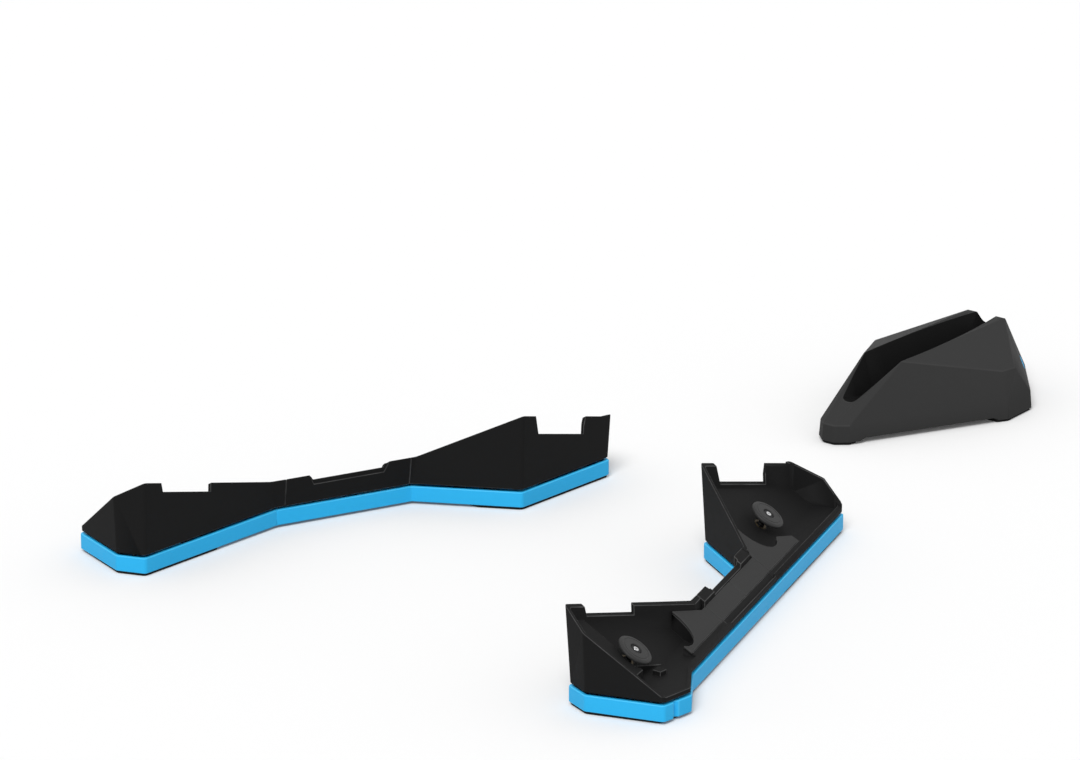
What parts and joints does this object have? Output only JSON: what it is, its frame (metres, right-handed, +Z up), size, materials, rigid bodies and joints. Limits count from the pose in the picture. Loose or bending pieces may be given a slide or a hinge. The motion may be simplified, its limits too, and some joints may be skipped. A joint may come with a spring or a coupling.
{
  "type": "trainer rocker plate set",
  "caption": "Pair of mirrored rolling floor plates with trays and height pads for an indoor bicycle trainer, and a front-wheel riser block.",
  "frame": {"origin": "middle of the whole set's bounding box at the floor, between the two plates", "axes": "+X the way the bicycle faces, towards the riser block; +Y the rider's left; +Z up from the floor"},
  "size_m": [1.1428, 0.7968, 0.1077],
  "materials": {
    "blue_plastic": "satin blue",
    "black_plastic": "fine-grained black",
    "deck_plastic": "fine-grained dark grey",
    "block_plastic": "fine-grained charcoal",
    "roller_plastic": "smooth natural white",
    "rubber": "matt",
    "steel": "bright",
    "brass": "turned"
  },
  "bodies": {
    "floor_set": {"block_shell": "block_plastic", "block_base_plate": "block_plastic", "block_rear_foot": "rubber", "block_front_foot": "rubber", "block_badge_left": "blue_plastic", "block_badge_right": "blue_plastic", "left_base": "blue_plastic", "left_rear_foot": "rubber", "left_front_foot": "rubber", "left_travel_stop": "rubber", "left_roller_1_axle": "steel", "left_roller_2_axle": "steel", "left_roller_3_axle": "steel", "left_roller_4_axle": "steel", "right_base": "blue_plastic", "right_rear_foot": "rubber", "right_front_foot": "rubber", "right_travel_stop": "rubber", "right_roller_1_axle": "steel", "right_roller_2_axle": "steel", "right_roller_3_axle": "steel", "right_roller_4_axle": "steel"},
    "left_carriage": {"left_rear_tray": "black_plastic", "left_bar_beam": "black_plastic", "left_front_tray": "black_plastic", "left_rear_deck": "deck_plastic", "left_front_deck": "deck_plastic", "left_bar_cover_front": "deck_plastic", "left_bar_cover_rear": "deck_plastic", "left_rear_pad_insert": "brass", "left_front_pad_insert": "brass"},
    "left_roller_1_body": {"left_roller_1": "roller_plastic"},
    "left_roller_2_body": {"left_roller_2": "roller_plastic"},
    "left_roller_3_body": {"left_roller_3": "roller_plastic"},
    "left_roller_4_body": {"left_roller_4": "roller_plastic"},
    "left_rear_pad_body": {"left_rear_pad": "deck_plastic"},
    "left_rear_screw_body": {"left_rear_pad_screw": "steel"},
    "left_front_pad_body": {"left_front_pad": "deck_plastic"},
    "left_front_screw_body": {"left_front_pad_screw": "steel"},
    "right_carriage": {"right_rear_tray": "black_plastic", "right_bar_beam": "black_plastic", "right_front_tray": "black_plastic", "right_rear_deck": "deck_plastic", "right_front_deck": "deck_plastic", "right_bar_cover_front": "deck_plastic", "right_bar_cover_rear": "deck_plastic", "right_rear_pad_insert": "brass", "right_front_pad_insert": "brass"},
    "right_roller_1_body": {"right_roller_1": "roller_plastic"},
    "right_roller_2_body": {"right_roller_2": "roller_plastic"},
    "right_roller_3_body": {"right_roller_3": "roller_plastic"},
    "right_roller_4_body": {"right_roller_4": "roller_plastic"},
    "right_rear_pad_body": {"right_rear_pad": "deck_plastic"},
    "right_rear_screw_body": {"right_rear_pad_screw": "steel"},
    "right_front_pad_body": {"right_front_pad": "deck_plastic"},
    "right_front_screw_body": {"right_front_pad_screw": "steel"}
  },
  "joints": [
    {"name": "left_travel", "type": "slide", "parent": "floor_set", "child": "left_carriage", "axis": [1, 0, 0], "range_m": [-0.025, 0.025]},
    {"name": "left_roller_1_spin", "type": "hinge", "parent": "floor_set", "child": "left_roller_1_body", "pos_m": [-0.50967, 0.312, 0.0152], "axis": [0, 1, 0], "range_deg": [-195, 195]},
    {"name": "left_roller_2_spin", "type": "hinge", "parent": "floor_set", "child": "left_roller_2_body", "pos_m": [-0.40567, 0.318, 0.0152], "axis": [0, 1, 0], "range_deg": [-195, 195]},
    {"name": "left_roller_3_spin", "type": "hinge", "parent": "floor_set", "child": "left_roller_3_body", "pos_m": [-0.12167, 0.15, 0.0152], "axis": [0, 1, 0], "range_deg": [-195, 195]},
    {"name": "left_roller_4_spin", "type": "hinge", "parent": "floor_set", "child": "left_roller_4_body", "pos_m": [-0.03367, 0.176, 0.0152], "axis": [0, 1, 0], "range_deg": [-195, 195]},
    {"name": "left_rear_pad_lift", "type": "slide", "parent": "left_carriage", "child": "left_rear_pad_body", "axis": [0.2032, 0.5363, 0.8192], "range_m": [-0.0025, 0.005]},
    {"name": "left_rear_pad_turn", "type": "hinge", "parent": "left_rear_pad_body", "child": "left_rear_screw_body", "pos_m": [-0.50867, 0.333, 0.05518], "axis": [0.2032, 0.5363, 0.8192], "range_deg": [-361, 721]},
    {"name": "left_front_pad_lift", "type": "slide", "parent": "left_carriage", "child": "left_front_pad_body", "axis": [0.2032, 0.5363, 0.8192], "range_m": [-0.0025, 0.005]},
    {"name": "left_front_pad_turn", "type": "hinge", "parent": "left_front_pad_body", "child": "left_front_screw_body", "pos_m": [-0.10407, 0.1805, 0.05466], "axis": [0.2032, 0.5363, 0.8192], "range_deg": [-361, 721]},
    {"name": "right_travel", "type": "slide", "parent": "floor_set", "child": "right_carriage", "axis": [1, 0, 0], "range_m": [-0.025, 0.025]},
    {"name": "right_roller_1_spin", "type": "hinge", "parent": "floor_set", "child": "right_roller_1_body", "pos_m": [-0.50967, -0.312, 0.0152], "axis": [0, 1, 0], "range_deg": [-195, 195]},
    {"name": "right_roller_2_spin", "type": "hinge", "parent": "floor_set", "child": "right_roller_2_body", "pos_m": [-0.40567, -0.318, 0.0152], "axis": [0, 1, 0], "range_deg": [-195, 195]},
    {"name": "right_roller_3_spin", "type": "hinge", "parent": "floor_set", "child": "right_roller_3_body", "pos_m": [-0.12167, -0.15, 0.0152], "axis": [0, 1, 0], "range_deg": [-195, 195]},
    {"name": "right_roller_4_spin", "type": "hinge", "parent": "floor_set", "child": "right_roller_4_body", "pos_m": [-0.03367, -0.176, 0.0152], "axis": [0, 1, 0], "range_deg": [-195, 195]},
    {"name": "right_rear_pad_lift", "type": "slide", "parent": "right_carriage", "child": "right_rear_pad_body", "axis": [0.2032, -0.5363, 0.8192], "range_m": [-0.0025, 0.005]},
    {"name": "right_rear_pad_turn", "type": "hinge", "parent": "right_rear_pad_body", "child": "right_rear_screw_body", "pos_m": [-0.50867, -0.333, 0.05518], "axis": [0.2032, -0.5363, 0.8192], "range_deg": [-361, 721]},
    {"name": "right_front_pad_lift", "type": "slide", "parent": "right_carriage", "child": "right_front_pad_body", "axis": [0.2032, -0.5363, 0.8192], "range_m": [-0.0025, 0.005]},
    {"name": "right_front_pad_turn", "type": "hinge", "parent": "right_front_pad_body", "child": "right_front_screw_body", "pos_m": [-0.10407, -0.1805, 0.05466], "axis": [0.2032, -0.5363, 0.8192], "range_deg": [-361, 721]}
  ],
  "couplings": [
    {"joint": "left_roller_1_spin", "follows": "left_travel", "rad_per_m": 133.33},
    {"joint": "left_roller_2_spin", "follows": "left_travel", "rad_per_m": 133.33},
    {"joint": "left_roller_3_spin", "follows": "left_travel", "rad_per_m": 133.33},
    {"joint": "left_roller_4_spin", "follows": "left_travel", "rad_per_m": 133.33},
    {"joint": "left_rear_pad_turn", "follows": "left_rear_pad_lift", "rad_per_m": 2513.3},
    {"joint": "left_front_pad_turn", "follows": "left_front_pad_lift", "rad_per_m": 2513.3},
    {"joint": "right_roller_1_spin", "follows": "right_travel", "rad_per_m": 133.33},
    {"joint": "right_roller_2_spin", "follows": "right_travel", "rad_per_m": 133.33},
    {"joint": "right_roller_3_spin", "follows": "right_travel", "rad_per_m": 133.33},
    {"joint": "right_roller_4_spin", "follows": "right_travel", "rad_per_m": 133.33},
    {"joint": "right_rear_pad_turn", "follows": "right_rear_pad_lift", "rad_per_m": 2513.3},
    {"joint": "right_front_pad_turn", "follows": "right_front_pad_lift", "rad_per_m": 2513.3}
  ]
}
